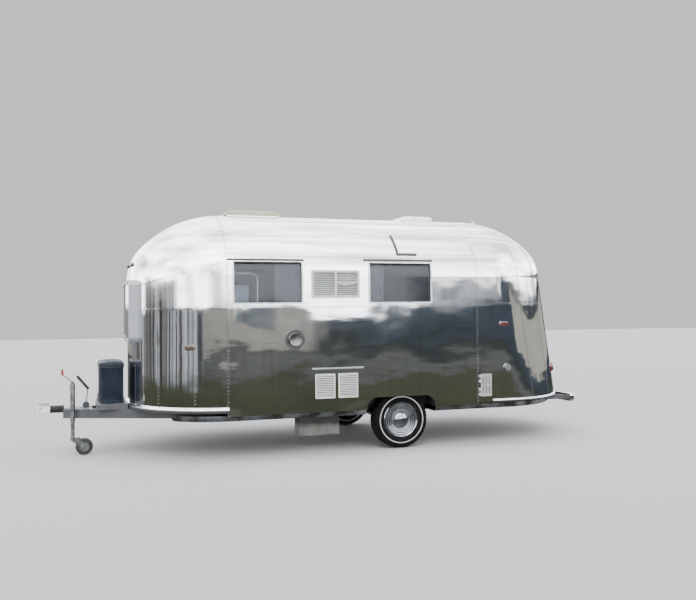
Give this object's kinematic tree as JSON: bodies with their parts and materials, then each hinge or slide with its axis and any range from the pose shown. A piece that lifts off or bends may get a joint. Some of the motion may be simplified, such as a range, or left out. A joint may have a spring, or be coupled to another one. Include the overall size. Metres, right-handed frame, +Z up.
{
  "type": "travel caravan",
  "caption": "Round-ended aluminium travel caravan on one axle, parked on its jockey wheel, with an entry door, roof vents, side windows, a drawbar and a gas cover.",
  "frame": {"origin": "middle of the footprint at ground level, on the caravan's centre line", "axes": "+X to the rear, -X to the coupling; +Y to the right side with the door; +Z up"},
  "size_m": [6.458, 2.3663, 2.768],
  "materials": {
    "skin": "polished, weathered and wavy",
    "glass": "tinted",
    "bright_trim": "satin",
    "chassis_paint": "worn grey paint with rust",
    "galvanised": "galvanised",
    "tyre": "matt with a thin white ring",
    "wheel_paint": "silver paint",
    "cover_chrome": "bright",
    "vent_plastic": "weathered",
    "white_plastic": "satin",
    "tan_paint": "satin",
    "amber_lens": "clear lens",
    "red_lens": "clear lens",
    "black_rubber": "matt",
    "cover_fabric": "coated cloth",
    "housing_plastic": "matt",
    "floor_board": "lacquered",
    "locker_paint": "pale paint, dirty",
    "dark_paint": "satin dark brown",
    "pan_sheet": "dull and dirty"
  },
  "bodies": {
    "caravan": {"amber_lamps": "amber_lens", "belly_pan": "pan_sheet", "cap_front_lower": "skin", "cap_front_upper": "skin", "cap_rear_lower": "skin", "cap_rear_upper": "skin", "chassis_frame": "chassis_paint", "coupling_bellows": "black_rubber", "coupling_head": "galvanised", "floor_deck": "floor_board", "fridge_vent": "vent_plastic", "gas_bottle_cover": "cover_fabric", "gas_tray": "chassis_paint", "hinge_leaves": "bright_trim", "jockey_crank": "galvanised", "jockey_outer_tube": "galvanised", "lower_vents": "white_plastic", "rear_bumper": "skin", "red_lamps": "red_lens", "roof": "skin", "roof_bracket": "dark_paint", "roof_pipe": "vent_plastic", "roof_vent_bases": "bright_trim", "rub_rails": "bright_trim", "step_runners": "chassis_paint", "torsion_axle": "chassis_paint", "underslung_locker": "locker_paint", "wall_fittings": "vent_plastic", "wall_left": "skin", "wall_right": "skin", "wheel_housings": "housing_plastic", "window_frames": "bright_trim", "window_glass": "glass"},
    "wheel_left": {"tyre_left": "tyre", "rim_left": "wheel_paint", "wheel_cover_left": "cover_chrome"},
    "wheel_right": {"tyre_right": "tyre", "rim_right": "wheel_paint", "wheel_cover_right": "cover_chrome"},
    "door": {"door_panel": "skin", "door_window_glass": "glass", "door_fittings": "bright_trim"},
    "service_hatch": {"service_hatch_lid": "white_plastic"},
    "vent_front": {"roof_vent_front_lid": "tan_paint"},
    "vent_rear": {"roof_vent_rear_lid": "bright_trim"},
    "step": {"entry_step": "bright_trim"},
    "hand_brake": {"brake_lever": "galvanised"},
    "jockey_post": {"jockey_inner_tube": "galvanised"},
    "jockey_caster": {"jockey_fork": "galvanised"},
    "jockey_wheel": {"jockey_tyre": "black_rubber", "jockey_hub": "white_plastic"}
  },
  "joints": [
    {"name": "wheel_left_spin", "type": "hinge", "parent": "caravan", "child": "wheel_left", "pos_m": [0.7, -0.9775, 0.325], "axis": [0, 1, 0], "continuous": true},
    {"name": "wheel_right_spin", "type": "hinge", "parent": "caravan", "child": "wheel_right", "pos_m": [0.7, 0.9775, 0.325], "axis": [0, 1, 0], "continuous": true},
    {"name": "door_swing", "type": "hinge", "parent": "caravan", "child": "door", "pos_m": [-1.111, 1.155, 1.25], "axis": [0, 0, 1], "range_deg": [0, 110]},
    {"name": "service_hatch_swing", "type": "hinge", "parent": "caravan", "child": "service_hatch", "pos_m": [1.669, -1.154, 0.685], "axis": [0, 0, 1], "range_deg": [-110, 0]},
    {"name": "vent_front_lift", "type": "hinge", "parent": "caravan", "child": "vent_front", "pos_m": [-1.151, 0, 2.704], "axis": [0, -1, 0], "range_deg": [0, 50]},
    {"name": "vent_rear_lift", "type": "hinge", "parent": "caravan", "child": "vent_rear", "pos_m": [1.106, 0, 2.704], "axis": [0, -1, 0], "range_deg": [0, 50]},
    {"name": "step_slide", "type": "slide", "parent": "caravan", "child": "step", "axis": [0, 1, 0], "range_m": [0, 0.24]},
    {"name": "hand_brake_swing", "type": "hinge", "parent": "caravan", "child": "hand_brake", "pos_m": [-2.699, 0.06, 0.548], "axis": [0, 1, 0], "range_deg": [-62, 0]},
    {"name": "jockey_raise", "type": "slide", "parent": "caravan", "child": "jockey_post", "axis": [0, 0, 1], "range_m": [-0.06, 0.16]},
    {"name": "jockey_swivel", "type": "hinge", "parent": "jockey_post", "child": "jockey_caster", "pos_m": [-2.841, -0.164, 0.2], "axis": [0, 0, 1], "continuous": true},
    {"name": "jockey_spin", "type": "hinge", "parent": "jockey_caster", "child": "jockey_wheel", "pos_m": [-2.721, -0.164, 0.093], "axis": [0, 1, 0], "continuous": true}
  ]
}
